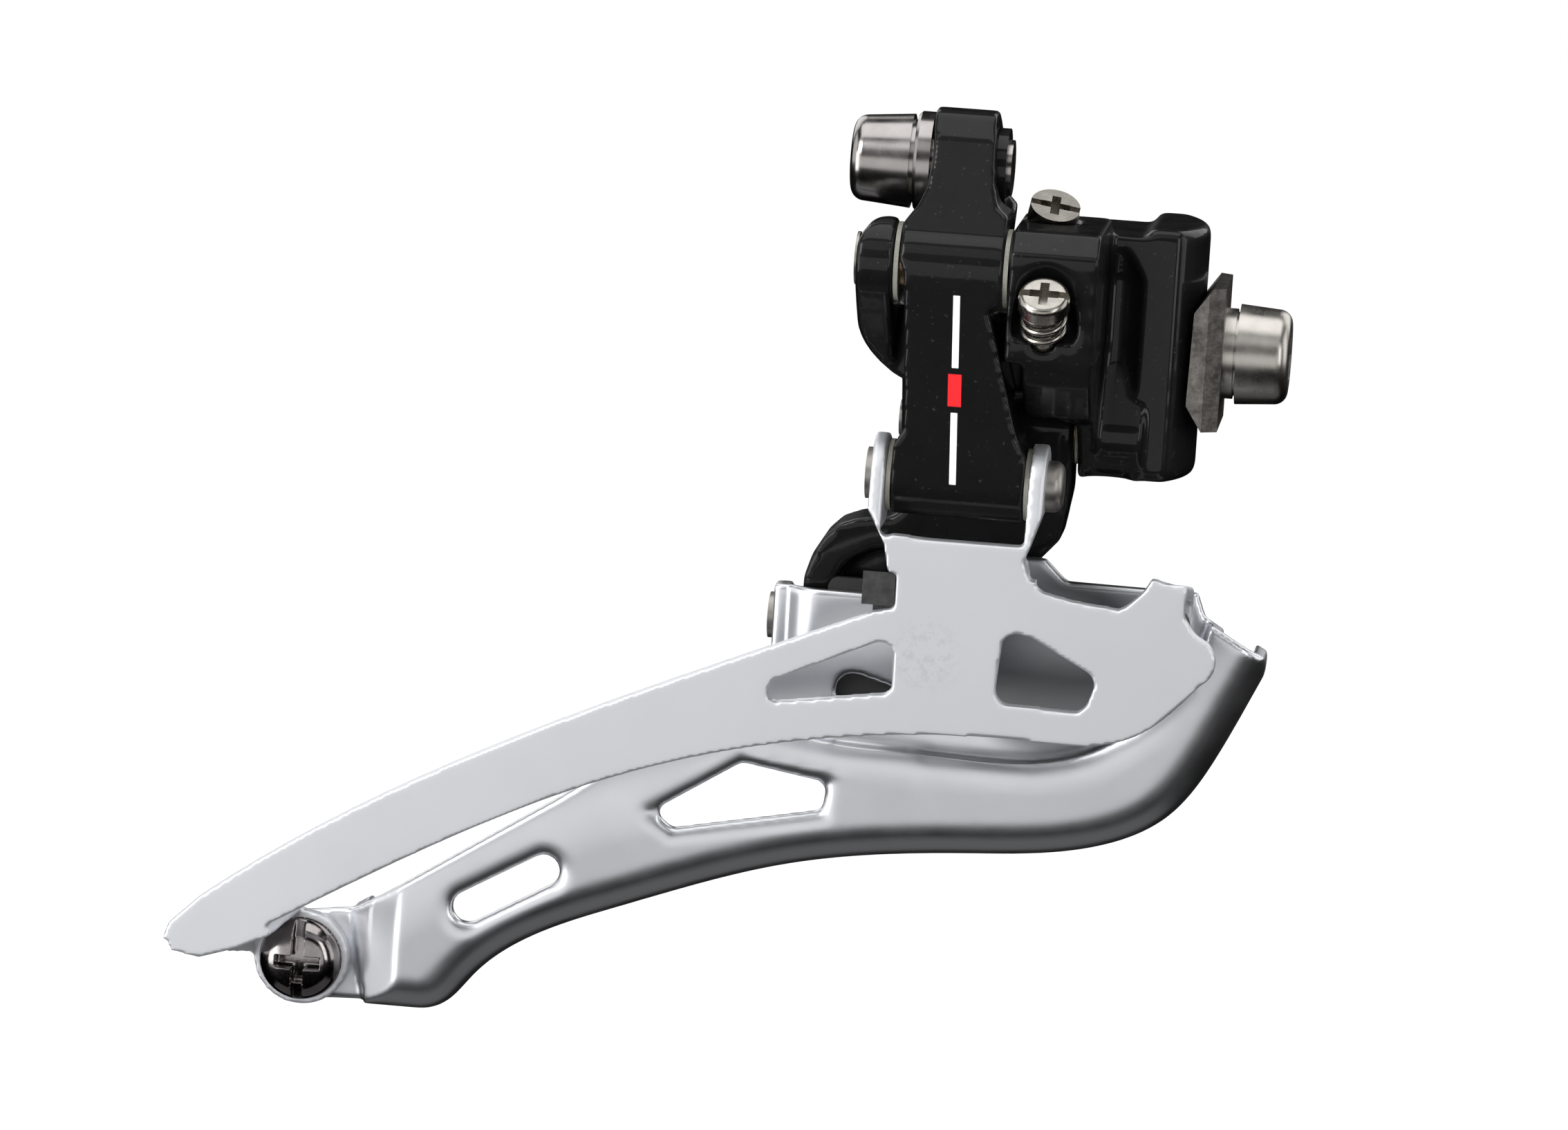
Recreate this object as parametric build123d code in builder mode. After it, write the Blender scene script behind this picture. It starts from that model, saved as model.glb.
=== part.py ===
"""Bicycle front derailleur for a two-ring chainset, with a hanger saddle and a pivoting chain cage.

Frame, in millimetres: the origin is where the fixing bolt's axis meets the nose of the saddle.
+X points forward along the fixing bolt, +Z up, -Y outward to the drive side.
The cage stands at its innermost place, with no cable pulling on it.
Side profiles are given as (y, z) on planes square to X, front outlines as (x, z) on planes square to Y.
"""

from build123d import *
from math import cos, radians, sin
import os

os.makedirs("parts", exist_ok=True)

# The four-bar linkage: all pivots lie along X. LINK runs from an upper pivot to its lower one.
LINK = (2.0, -19.4)
OUTER_TOP = (-18.0, 8.6)
INNER_BOTTOM = (-2.5, -26.8)
OUTER_BOTTOM = (OUTER_TOP[0] + LINK[0], OUTER_TOP[1] + LINK[1])
INNER_TOP = (INNER_BOTTOM[0] - LINK[0], INNER_BOTTOM[1] - LINK[1])

# Pivot hardware
PIN_RADIUS = 1.6
RUNNING_GAP = 0.05
BUSH_RADIUS = 2.25
WASHER_RADIUS = 3.5

# Stretches along X: link barrels and the ears that hold them
UPPER_OUTER_BARREL = (-26.1, -16.9)
UPPER_INNER_BARREL = (-23.4, -10.6)
LOWER_OUTER_BARREL = (-25.8, -14.0)
LEFT_FORK_ARM = (-34.4, -32.2)
RIGHT_FORK_ARM = (-17.0, -14.6)
REAR_EAR = (-29.9, -26.6)
FRONT_BLOCK = (-16.4, -8.5)
OUTER_CAGE_EARS = ((-27.6, -26.3), (-13.5, -12.1))
INNER_CAGE_EARS = ((-36.9, -35.6), (-13.4, -12.1))

# Cage sheets: y of each front face, and thickness
OUTER_SHEET = 1.5
INNER_SHEET = 1.2
OUTER_FACE = -21.0
BAND_FACE = -9.8
WALL_FACE = -8.0
LIP_BACK = -4.0
FLANGE_FACE = -7.0
RIM_RADIUS = 3.4
RAMP_START = -69.2
TAIL_SCREW = (-78.2, -61.1)
TAB_RADIUS = 4.4
NOSE_RIVET = (-0.5, -23.4)

# Saddle and fixing bolt (M5), cable bolt (M5)
NOSE_RADIUS = 12.0
SADDLE_HALF_WIDTH = 7.0
SADDLE_SPAN = (-11.3, 11.6)
M5_RADIUS = 2.5
CABLE_BOLT = (-12.0, 16.8)
ARM_FACE = -24.4
CABLE_RADIUS = 0.65
CABLE_OFFSET = 3.3

# Limit screws: middle of each head's top, turned away from vertical and leant forward, in degrees
LIMIT_SCREWS = {
    "low": ((-13.0, -23.5, 7.4), 40, 0),
    "high": ((-13.3, -12.2, 13.8), 30, 10),
}
LIMIT_HEAD_RADIUS = 2.25
LIMIT_HEAD = 1.7
LIMIT_SHANK_RADIUS = 1.4
LIMIT_SEAT = {"low": 5.3, "high": 3.4}
LIMIT_LENGTH = {"low": 14.0, "high": 13.0}
LIMIT_POCKET = {"low": 2.85, "high": 2.5}


def side(x):
    """Plane square to X: sketch coordinates are (y, z), depth goes toward +X."""
    return Plane(origin=(x, 0, 0), x_dir=(0, 1, 0), z_dir=(1, 0, 0))


def front(y):
    """Plane square to Y: sketch coordinates are (x, z), and its normal is -Y, toward the drive side."""
    return Plane(origin=(0, y, 0), x_dir=(1, 0, 0), z_dir=(0, -1, 0))


def rod(stretch, centre, radius, mode=Mode.ADD):
    """A cylinder along X over a stretch (start, end), round a (y, z) centre."""
    with BuildSketch(side(stretch[0])) as section:
        with Locations(centre):
            Circle(radius)
    extrude(section.sketch, amount=stretch[1] - stretch[0], mode=mode)


def ring(stretch, centre, outer, inner):
    """A plain washer or bush along X."""
    with BuildSketch(side(stretch[0])) as section:
        with Locations(centre):
            Circle(outer)
            Circle(inner, mode=Mode.SUBTRACT)
    extrude(section.sketch, amount=stretch[1] - stretch[0])


def arm(stretch, start, start_radius, end, end_radius, mode=Mode.ADD):
    """A bar along X whose side profile is a belt round two circles."""
    with BuildSketch(side(stretch[0])) as section:
        with Locations(start):
            Circle(start_radius)
        with Locations(end):
            Circle(end_radius)
        make_hull()
    extrude(section.sketch, amount=stretch[1] - stretch[0], mode=mode)


def slab(x_stretch, y_stretch, z_stretch, mode=Mode.ADD):
    """A box between three pairs of limits."""
    spans = (x_stretch, y_stretch, z_stretch)
    middle = tuple((low + high) / 2 for low, high in spans)
    with Locations(middle):
        Box(*[high - low for low, high in spans], mode=mode)


def polygon(plane, points, corner=0.0):
    """A closed outline with every corner rounded alike."""
    with BuildSketch(plane) as outline:
        with BuildLine():
            Polyline(*points, close=True)
        make_face()
        if corner:
            fillet(outline.vertices(), corner)
    return outline


def screw_plane(name):
    """Plane on top of a limit screw's head, with its normal out of the screw."""
    origin, turn, lean = LIMIT_SCREWS[name]
    forward, level = sin(radians(lean)), cos(radians(lean))
    return Plane(origin=origin, z_dir=(forward, -sin(radians(turn)) * level, cos(radians(turn)) * level))


def disc(plane, start, end, radius, mode=Mode.ADD):
    """A cylinder along a plane's normal, between two depths below it."""
    with BuildSketch(plane.offset(-start)) as section:
        Circle(radius)
    extrude(section.sketch, amount=start - end, mode=mode)


def recess(plane, slot_length, slot_width, slot_depth, cross_length, cross_width, cross_depth):
    """A driver slot across the head, with a cross recess in its middle."""
    with BuildSketch(plane) as slot:
        Rectangle(slot_width, slot_length)
    extrude(slot.sketch, amount=-slot_depth, mode=Mode.SUBTRACT)
    with BuildSketch(plane) as cross:
        Rectangle(cross_width, cross_length)
        Rectangle(cross_length, cross_width)
    extrude(cross.sketch, amount=-cross_depth, mode=Mode.SUBTRACT)


def finish(builder, name):
    """Label a finished piece and write it."""
    builder.part.label = name
    export_step(builder.part, f"parts/{name}.step")


# ---------------------------------------------------------------- body

with BuildPart() as body_casting:
    # Saddle: a plate whose nose is a vertical cylinder, to sit in the hanger's hollow
    nose_edge = (NOSE_RADIUS**2 - SADDLE_HALF_WIDTH**2) ** 0.5 - NOSE_RADIUS
    with BuildSketch(Plane.XY.offset(SADDLE_SPAN[0])):
        with BuildLine():
            ThreePointArc((nose_edge, -SADDLE_HALF_WIDTH), (0, 0), (nose_edge, SADDLE_HALF_WIDTH))
            Polyline(
                (nose_edge, SADDLE_HALF_WIDTH),
                (-5.4, SADDLE_HALF_WIDTH),
                (-5.4, -SADDLE_HALF_WIDTH),
                (nose_edge, -SADDLE_HALF_WIDTH),
            )
        make_face()
    extrude(amount=SADDLE_SPAN[1] - SADDLE_SPAN[0])
    fillet(body_casting.edges().filter_by(Axis.Z), 0.9)
    fillet(body_casting.faces().filter_by(Axis.Z).edges(), 0.9)

    # Neck from the saddle to the block, with a hollow valley down each side
    slab((-10.2, -4.5), (-SADDLE_HALF_WIDTH, 5.0), (SADDLE_SPAN[0], 10.8))
    with BuildSketch(Plane.XY.offset(-14)) as valley:
        with Locations((-7.4, -SADDLE_HALF_WIDTH - 0.6)):
            Circle(2.1)
    extrude(valley.sketch, amount=21, mode=Mode.SUBTRACT)
    with Locations((-7.4, -SADDLE_HALF_WIDTH - 0.6, 7)):
        Cone(2.1, 0.4, 3.2, align=(Align.CENTER, Align.CENTER, Align.MIN), mode=Mode.SUBTRACT)

    # Boss that holds the upper inner pin, and a gusset from it up to the block
    arm((-10.2, -4.5), INNER_TOP, 3.7, (-1.0, -4.0), 5.5)
    arm((-10.2, -8.6), INNER_TOP, 3.7, (-11.0, -1.0), 4.5)
    with BuildSketch(side(-14.7)) as gusset:
        with BuildLine():
            Polyline(
                (-20.8, 0.8),
                (-20.2, -1.2),
                (-16.4, -4.6),
                (-12.0, -5.6),
                (-7.6, -5.0),
                (-7.6, 0.8),
                close=True,
            )
        make_face()
    extrude(gusset.sketch, amount=6.1)

    # Front block that holds the outer pin and both limit screws
    with BuildSketch(side(FRONT_BLOCK[0])) as block:
        with BuildLine():
            Polyline(
                (-20.8, 0.6),
                (-21.9, 10.4),
                (-20.0, 12.4),
                (-7.0, 12.4),
                (-3.0, 9.0),
                (-3.0, 0.6),
                close=True,
            )
        make_face()
    extrude(block.sketch, amount=FRONT_BLOCK[1] - FRONT_BLOCK[0])

    # Web behind the outer link, and the rear ear that it carries
    slab((REAR_EAR[0], -10.0), (-13.0, -5.4), (-3.2, 4.0))
    arm(REAR_EAR, OUTER_TOP, 3.9, (-9.4, 0.9), 4.1)
    # The rear ear's outer corners, as seen from the front
    for corner, radius in (((-1, -1), 6.5), ((-1, 1), 2.6)):
        level = -3.2 if corner[1] < 0 else 12.5
        with BuildSketch(front(-30.0)) as corner_cut:
            with Locations((REAR_EAR[0] + radius / 2, level - corner[1] * radius / 2)):
                Rectangle(radius, radius)
            with Locations((REAR_EAR[0] + radius, level - corner[1] * radius)):
                Circle(radius, mode=Mode.SUBTRACT)
        extrude(corner_cut.sketch, amount=-40, mode=Mode.SUBTRACT)
    # Left ear of the upper inner pivot
    arm((-26.2, -24.0), INNER_TOP, 3.4, (-8.6, 0.0), 3.2)

    # Bores
    rod((-31.0, -10.5), OUTER_TOP, PIN_RADIUS, Mode.SUBTRACT)
    rod((-26.6, -23.4), INNER_TOP, PIN_RADIUS, Mode.SUBTRACT)
    rod((-11.0, -6.4), INNER_TOP, PIN_RADIUS, Mode.SUBTRACT)
    rod((-16.0, 1.0), (0, 0), M5_RADIUS + RUNNING_GAP, Mode.SUBTRACT)
    # Room for the link barrels
    rod((REAR_EAR[1], FRONT_BLOCK[0]), OUTER_TOP, 4.2, Mode.SUBTRACT)
    rod((-24.0, -10.2), INNER_TOP, 3.9, Mode.SUBTRACT)
    for screw in LIMIT_SCREWS:
        disc(screw_plane(screw), -4.0, LIMIT_SEAT[screw], LIMIT_POCKET[screw], Mode.SUBTRACT)
        disc(screw_plane(screw), 0.0, 24.0, LIMIT_SHANK_RADIUS + RUNNING_GAP, Mode.SUBTRACT)
finish(body_casting, "body_casting")

with BuildPart() as fixing_bolt:
    rod((-12.0, 3.4), (0, 0), M5_RADIUS)
    rod((2.95, 3.2), (0, 0), 3.8)
    with BuildSketch(side(3.2)):
        Circle(4.55)
    extrude(amount=4.7, taper=4)
    fillet(fixing_bolt.edges().group_by(Axis.X)[-1], 1.2)
    with BuildSketch(side(7.9)):
        RegularPolygon(2.0, 6, major_radius=False)
    extrude(amount=-3.0, mode=Mode.SUBTRACT)
finish(fixing_bolt, "fixing_bolt")

with BuildPart() as fixing_washer:
    # Tapered block, hollowed on its saddle side to a slightly larger cylinder than the nose
    with BuildSketch(front(-6.0)):
        with BuildLine():
            Polyline(
                (2.0, 6.5),
                (0.9, 6.5),
                (-0.7, 4.2),
                (-0.9, -4.2),
                (0.6, -6.5),
                (2.0, -6.5),
                close=True,
            )
        make_face()
    extrude(amount=-12.0)
    chamfer(fixing_washer.faces().sort_by(Axis.X)[-1].edges().filter_by(Axis.Z), 0.9, 1.4)
    with BuildSketch(Plane.XY.offset(-8)):
        with Locations((-NOSE_RADIUS, 0)):
            Circle(NOSE_RADIUS + 0.3)
    extrude(amount=16, mode=Mode.SUBTRACT)
    rod((-3.0, 2.5), (0, 0), M5_RADIUS + RUNNING_GAP, Mode.SUBTRACT)
finish(fixing_washer, "fixing_washer")

with BuildPart() as fixing_flat_washer:
    ring((2.0, 2.95), (0, 0), 4.1, M5_RADIUS + RUNNING_GAP)
finish(fixing_flat_washer, "fixing_flat_washer")

with BuildPart() as upper_outer_pin:
    rod((REAR_EAR[0], -11.0), OUTER_TOP, PIN_RADIUS)
    rod((REAR_EAR[0] - 0.25, REAR_EAR[0]), OUTER_TOP, 2.35)
finish(upper_outer_pin, "upper_outer_pin")

with BuildPart() as upper_inner_pin:
    rod((-26.6, -6.6), INNER_TOP, PIN_RADIUS)
finish(upper_inner_pin, "upper_inner_pin")

with BuildPart() as upper_outer_thrust_washers:
    ring((-26.55, -26.15), OUTER_TOP, WASHER_RADIUS, PIN_RADIUS + RUNNING_GAP)
    ring((-16.85, -16.45), OUTER_TOP, WASHER_RADIUS, PIN_RADIUS + RUNNING_GAP)
finish(upper_outer_thrust_washers, "upper_outer_thrust_washers")

with BuildPart() as upper_inner_thrust_washers:
    ring((-23.9, -23.5), INNER_TOP, 3.0, PIN_RADIUS + RUNNING_GAP)
    ring((-10.5, -10.25), INNER_TOP, 3.0, PIN_RADIUS + RUNNING_GAP)
finish(upper_inner_thrust_washers, "upper_inner_thrust_washers")


def limit_screw(name):
    """Domed head with a slot and a cross, on a plain shank."""
    top = screw_plane(name)
    disc(top, 0.0, LIMIT_HEAD, LIMIT_HEAD_RADIUS)
    disc(top, LIMIT_HEAD, LIMIT_LENGTH[name], LIMIT_SHANK_RADIUS)


with BuildPart() as low_limit_screw:
    limit_screw("low")
    fillet(low_limit_screw.edges().filter_by(GeomType.CIRCLE).sort_by(SortBy.DISTANCE)[-1], 0.6)
    recess(screw_plane("low"), 5.0, 0.7, 0.7, 2.6, 0.8, 1.3)
finish(low_limit_screw, "low_limit_screw")

with BuildPart() as high_limit_screw:
    limit_screw("high")
    recess(screw_plane("high"), 5.0, 0.7, 0.7, 2.6, 0.8, 1.3)
finish(high_limit_screw, "high_limit_screw")


def limit_spring(name, turns):
    """Coil between a limit screw's head and its seat, with its ends cut where they meet both."""
    wire = 0.28
    height = LIMIT_SEAT[name] - LIMIT_HEAD - 2 * wire - 0.05
    seat = screw_plane(name).offset(-LIMIT_SEAT[name] + wire + 0.02)
    radius = LIMIT_SHANK_RADIUS + wire + 0.15
    base = Plane(origin=seat.origin, x_dir=seat.x_dir, z_dir=seat.z_dir)
    path = base.location * Helix(height / turns, height, radius)
    with BuildSketch(Plane(origin=path @ 0, z_dir=path % 0)) as section:
        Circle(wire)
    sweep(section.sketch, path=path, is_frenet=True)


with BuildPart() as low_limit_spring:
    limit_spring("low", 2.5)
finish(low_limit_spring, "low_limit_spring")

with BuildPart() as high_limit_spring:
    limit_spring("high", 1.5)
finish(high_limit_spring, "high_limit_spring")

# ---------------------------------------------------------------- outer link with the cable arm

with BuildPart() as outer_link:
    # Side profile: cable boss, barrels and the web that joins them
    with BuildSketch(side(-27)):
        for centre, radius in ((CABLE_BOLT, 5.0), ((-13.7, 20.2), 1.6), (OUTER_TOP, 3.4)):
            with Locations(centre):
                Circle(radius)
        make_hull()
    extrude(amount=14)
    arm((-27, -13), OUTER_TOP, 3.75, OUTER_BOTTOM, 3.4)
    # Front outline: narrow arm on top, wide barrel, then a web that widens toward its foot
    corners = [
        (-24.4, 23.0),
        (-18.9, 23.0),
        (-18.4, 15.9),
        (-17.9, 14.1),
        (-16.9, 13.3),
        (-16.9, 5.7),
        (-17.9, 5.3),
        (-17.0, 2.0),
        (-16.0, -1.8),
        (-15.1, -5.2),
        (-14.0, -8.2),
        (-14.0, -15.5),
        (-25.8, -15.5),
        (-25.8, -7.8),
        (-24.9, -6.0),
        (-25.2, 1.6),
        (-25.6, 8.0),
        (-26.1, 9.2),
        (-26.1, 12.2),
        (-25.0, 13.7),
        (-24.3, 15.4),
        (-24.1, 18.0),
    ]
    outline = polygon(front(-30), corners)
    extrude(outline.sketch, amount=-30, mode=Mode.INTERSECT)
    # Hollow back of the web
    slab((-23.6, -18.6), (-15.6, -8.0), (-6.0, 3.6), Mode.SUBTRACT)
    rod(UPPER_OUTER_BARREL, OUTER_TOP, BUSH_RADIUS, Mode.SUBTRACT)
    rod(LOWER_OUTER_BARREL, OUTER_BOTTOM, BUSH_RADIUS, Mode.SUBTRACT)
    rod((-25, -18), CABLE_BOLT, M5_RADIUS + RUNNING_GAP, Mode.SUBTRACT)
    rod((-21.4, -18), CABLE_BOLT, 3.2, Mode.SUBTRACT)
    # Seats for the cable washer and the insert's flange
    rod((-27.0, ARM_FACE), CABLE_BOLT, 4.75, Mode.SUBTRACT)
    rod((-18.6, -16.5), CABLE_BOLT, 3.8, Mode.SUBTRACT)
    # Groove for the cable under its washer
    with BuildSketch(Plane.XY.offset(8)) as groove:
        with Locations((ARM_FACE + CABLE_RADIUS, CABLE_BOLT[0] + CABLE_OFFSET)):
            Circle(CABLE_RADIUS)
        with Locations((ARM_FACE, CABLE_BOLT[0] + CABLE_OFFSET)):
            Rectangle(2 * CABLE_RADIUS, 2 * CABLE_RADIUS)
    extrude(groove.sketch, amount=20, mode=Mode.SUBTRACT)
finish(outer_link, "outer_link")

with BuildPart() as outer_link_bushes:
    ring(UPPER_OUTER_BARREL, OUTER_TOP, BUSH_RADIUS, PIN_RADIUS + RUNNING_GAP)
    ring(LOWER_OUTER_BARREL, OUTER_BOTTOM, BUSH_RADIUS, PIN_RADIUS + RUNNING_GAP)
finish(outer_link_bushes, "outer_link_bushes")

with BuildPart() as cable_bolt:
    rod((-25.9, -17.3), CABLE_BOLT, M5_RADIUS)
    rod((-26.3, -25.9), CABLE_BOLT, 3.7)
    with BuildSketch(side(-26.3)):
        with Locations(CABLE_BOLT):
            Circle(4.2)
    extrude(amount=-5.3, taper=5)
    fillet(cable_bolt.edges().group_by(Axis.X)[0], 1.2)
    with BuildSketch(side(-31.6)):
        with Locations(CABLE_BOLT):
            RegularPolygon(2.0, 6, major_radius=False)
    extrude(amount=3.0, mode=Mode.SUBTRACT)
finish(cable_bolt, "cable_bolt")

with BuildPart() as cable_washer:
    ring((-25.9, -24.42), CABLE_BOLT, 4.5, M5_RADIUS + RUNNING_GAP)
    chamfer(cable_washer.edges().sort_by(Axis.X)[0:2].sort_by(SortBy.RADIUS)[-1], 0.3)
finish(cable_washer, "cable_washer")

with BuildPart() as cable_insert:
    ring((-21.4, -18.6), CABLE_BOLT, 3.2, M5_RADIUS + RUNNING_GAP)
    ring((-18.6, -17.7), CABLE_BOLT, 3.5, M5_RADIUS + RUNNING_GAP)
finish(cable_insert, "cable_insert")

# ---------------------------------------------------------------- inner link and return spring

with BuildPart() as inner_link:
    arm((-36, -10), INNER_TOP, 3.3, INNER_BOTTOM, 3.0)
    corners = [
        (-23.4, -3.0),
        (-10.6, -3.0),
        (-10.6, -13.0),
        (-11.3, -17.2),
        (-14.6, -21.0),
        (-14.6, -31.0),
        (-17.0, -31.0),
        (-17.0, -24.0),
        (-18.5, -22.8),
        (-31.2, -22.8),
        (-32.2, -24.0),
        (-32.2, -31.0),
        (-34.4, -31.0),
        (-34.4, -22.6),
        (-33.7, -20.3),
        (-32.7, -18.6),
        (-31.4, -17.3),
        (-29.6, -16.6),
        (-26.5, -16.2),
        (-23.4, -13.0),
    ]
    outline = polygon(front(-15), corners)
    extrude(outline.sketch, amount=-25, mode=Mode.INTERSECT)
    # Arched recess in the front, over the spring
    with BuildSketch(front(-12)) as arch:
        with Locations((-26.6, -24.4)):
            Circle(5.2)
        with Locations((-21.0, -22.0)):
            Rectangle(11.2, 5.6)
    extrude(arch.sketch, amount=-7.9, mode=Mode.SUBTRACT)
    rod(UPPER_INNER_BARREL, INNER_TOP, BUSH_RADIUS, Mode.SUBTRACT)
    rod(LEFT_FORK_ARM, INNER_BOTTOM, 2.1, Mode.SUBTRACT)
    rod(RIGHT_FORK_ARM, INNER_BOTTOM, 2.1, Mode.SUBTRACT)
finish(inner_link, "inner_link")

with BuildPart() as inner_link_bushes:
    ring(UPPER_INNER_BARREL, INNER_TOP, BUSH_RADIUS, PIN_RADIUS + RUNNING_GAP)
    ring(LEFT_FORK_ARM, INNER_BOTTOM, 2.1, PIN_RADIUS + RUNNING_GAP)
    ring(RIGHT_FORK_ARM, INNER_BOTTOM, 2.1, PIN_RADIUS + RUNNING_GAP)
finish(inner_link_bushes, "inner_link_bushes")

# ---------------------------------------------------------------- cage

with BuildPart() as outer_cage_plate:
    with BuildSketch(front(OUTER_FACE)) as plate:
        with BuildLine():
            neck = Polyline(
                (-25.3, -15.4),
                (-25.5, -17.1),
                (-26.4, -18.8),
                (-24.6, -18.8),
                (-24.6, -22.0),
                (-26.3, -22.4),
            )
            top = Spline(neck @ 1, (-44.1, -30.1), (-66.6, -41.0), (-85.6, -53.3))
            tip = Polyline(top @ 1, (-88.4, -56.0), (-88.9, -57.5), (-84.5, -57.5), (-80.3, -56.0))
            bottom = Spline(tip @ 1, (-66.7, -48.0), (-48.0, -39.0), (-30.4, -34.3), (-9.5, -33.1))
            heel = Spline(bottom @ 1, (-2.3, -31.7), (2.9, -26.8), tangents=(bottom % 1, (0.65, 0.76)))
            nose = ThreePointArc(heel @ 1, (4.1, -24.6), (3.3, -23.0))
            notch = Polyline(nose @ 1, (2.1, -22.3), (1.1, -20.9), (1.0, -18.4), (-2.0, -17.6))
            tab_side = ThreePointArc(notch @ 1, (-3.0, -19.2), (-4.7, -20.6))
            Polyline(
                tab_side @ 1,
                (-8.7, -20.2),
                (-11.6, -19.6),
                (-12.9, -18.5),
                (-13.4, -17.2),
                (-13.5, -16.1),
                neck @ 0,
            )
        make_face()
    extrude(amount=-OUTER_SHEET)
    rear_window = [(-36.0, -31.5), (-35.1, -29.4), (-26.0, -25.2), (-24.5, -25.2), (-24.4, -29.7)]
    front_window = [(-14.8, -23.3), (-12.4, -23.6), (-6.2, -26.9), (-7.2, -30.1), (-15.3, -29.9)]
    for corners, rounding in ((rear_window, 0.8), (front_window, 1.3)):
        window = polygon(front(-30), corners, rounding)
        extrude(window.sketch, amount=-20, mode=Mode.SUBTRACT)
    # Ears for the lower outer pin, bent back from the neck
    for ear in OUTER_CAGE_EARS:
        arm(ear, OUTER_BOTTOM, 3.7, (-19.2, -17.0), 1.8)
    slab((-27.6, -12.1), (OUTER_FACE, OUTER_FACE + OUTER_SHEET), (-18.8, -15.6))
    # The ears narrow toward the neck
    left_waste = [(-28.5, -13.4), (-27.6, -13.4), (-25.9, -16.3), (-25.4, -18.9), (-28.5, -18.9)]
    right_waste = [(-11.0, -12.8), (-12.1, -12.8), (-13.4, -17.0), (-12.8, -18.7), (-11.0, -18.7)]
    for waste in (left_waste, right_waste):
        extrude(polygon(front(-30), waste).sketch, amount=-22, mode=Mode.SUBTRACT)
    # Tab folded back over the nose, with a foot on the inner plate
    with BuildSketch(side(-2.1)):
        with BuildLine():
            Polyline(
                (-20.9, -19.2),
                (-20.9, -17.9),
                (-8.8, -20.1),
                (-8.0, -20.8),
                (-8.0, -25.2),
                (-9.5, -25.2),
                (-9.5, -21.3),
                close=True,
            )
        make_face()
    extrude(amount=3.3)
    # Tail: the lower edge slopes back to a round tab under the tail screw
    with BuildSketch(front(OUTER_FACE)) as tail_root:
        with BuildLine():
            Polyline(
                (-88.7, -57.2),
                (-85.6, -57.4),
                (-82.4, -56.4),
                (-79.6, -55.2),
                (-79.0, -56.4),
                (-82.2, -57.9),
                (-85.6, -59.0),
                (-88.0, -58.5),
                close=True,
            )
        make_face()
    with BuildSketch(front(FLANGE_FACE - OUTER_SHEET)) as tail_foot:
        with BuildLine():
            Polyline(
                (-84.2, -60.6),
                (-83.6, -59.0),
                (-82.3, -57.1),
                (-78.4, -55.5),
                (-78.5, -56.8),
                (-81.4, -58.1),
                (-82.3, -59.4),
                (-82.7, -61.0),
                close=True,
            )
        make_face()
    loft(sections=[tail_root.sketch, tail_foot.sketch])
    extrude(tail_foot.sketch, amount=-OUTER_SHEET)
    with BuildSketch(front(FLANGE_FACE)) as tab:
        with Locations(TAIL_SCREW):
            Circle(TAB_RADIUS)
    extrude(tab.sketch, amount=OUTER_SHEET)
    with BuildSketch(front(FLANGE_FACE)) as tab_hole:
        with Locations(TAIL_SCREW):
            Circle(2.0)
    extrude(tab_hole.sketch, amount=8, mode=Mode.SUBTRACT)
    with BuildSketch(front(-10)) as rivet_hole:
        with Locations(NOSE_RIVET):
            Circle(1.1)
    extrude(rivet_hole.sketch, amount=-5, mode=Mode.SUBTRACT)
    rod((-28.5, -11.5), OUTER_BOTTOM, PIN_RADIUS, Mode.SUBTRACT)
finish(outer_cage_plate, "outer_cage_plate")


def shifted(points, distance):
    """Points moved to the left of their run, square to the line through their neighbours."""
    moved = []
    for index, point in enumerate(points):
        before = Vector(*points[max(index - 1, 0)])
        after = Vector(*points[min(index + 1, len(points) - 1)])
        along = (after - before).normalized()
        moved.append((point[0] - along.Y * distance, point[1] + along.X * distance))
    return moved


# Lower and front edge of the inner plate, from the tail round to the nose
RIM = [
    (-67.5, -65.3),
    (-62.6, -62.0),
    (-49.0, -54.1),
    (-34.0, -48.9),
    (-18.0, -46.6),
    (-7.0, -45.2),
    (0.0, -41.8),
    (4.0, -36.2),
    (7.9, -28.0),
]


def inner_outline(inset, margin, back):
    """Front outline of the inner plate: its rim drawn in by inset, its other edges pushed out by margin."""
    rim = shifted(RIM, inset)
    with BuildSketch(front(back)) as outline:
        with BuildLine():
            heel = Line((-72.3 + inset, rim[0][1]), rim[0])
            edge = Spline(*rim, tangents=((1, 0), (0.42, 0.9)))
            Polyline(
                edge @ 1,
                (8.0 - inset, -26.2 + margin),
                (2.3 + margin, -23.0 + margin),
                (1.5 + margin, -20.8 + margin),
                (-10.4, -20.7 + margin),
                (-12.4, -18.8 + margin),
                (-17.5, -18.8 + margin),
                (-19.5, -23.2 + margin),
                (-35.6 - margin, -23.2 + margin),
                (-35.6 - margin, -29.5 + margin),
                (-55.2 - margin, -44.1 + margin),
                (-73.8 + inset, -56.4 + margin),
                heel @ 0,
            )
        make_face()
    return outline


def pocket_outline(margin, back):
    """Front outline of the recessed upper wall, pushed out by margin."""
    with BuildSketch(front(back)) as outline:
        with BuildLine():
            low = Spline(
                (-43.0, -31.0 - margin),
                (-36.5, -35.6 - margin),
                (-22.0, -37.2 - margin),
                (-8.5, -36.4 - margin),
                (-0.9 + margin, -31.0 - margin),
                (3.0 + margin, -22.4),
            )
            Polyline(low @ 1, (3.0 + margin, -10), (-43.0, -10), low @ 0)
        make_face()
    return outline


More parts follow.
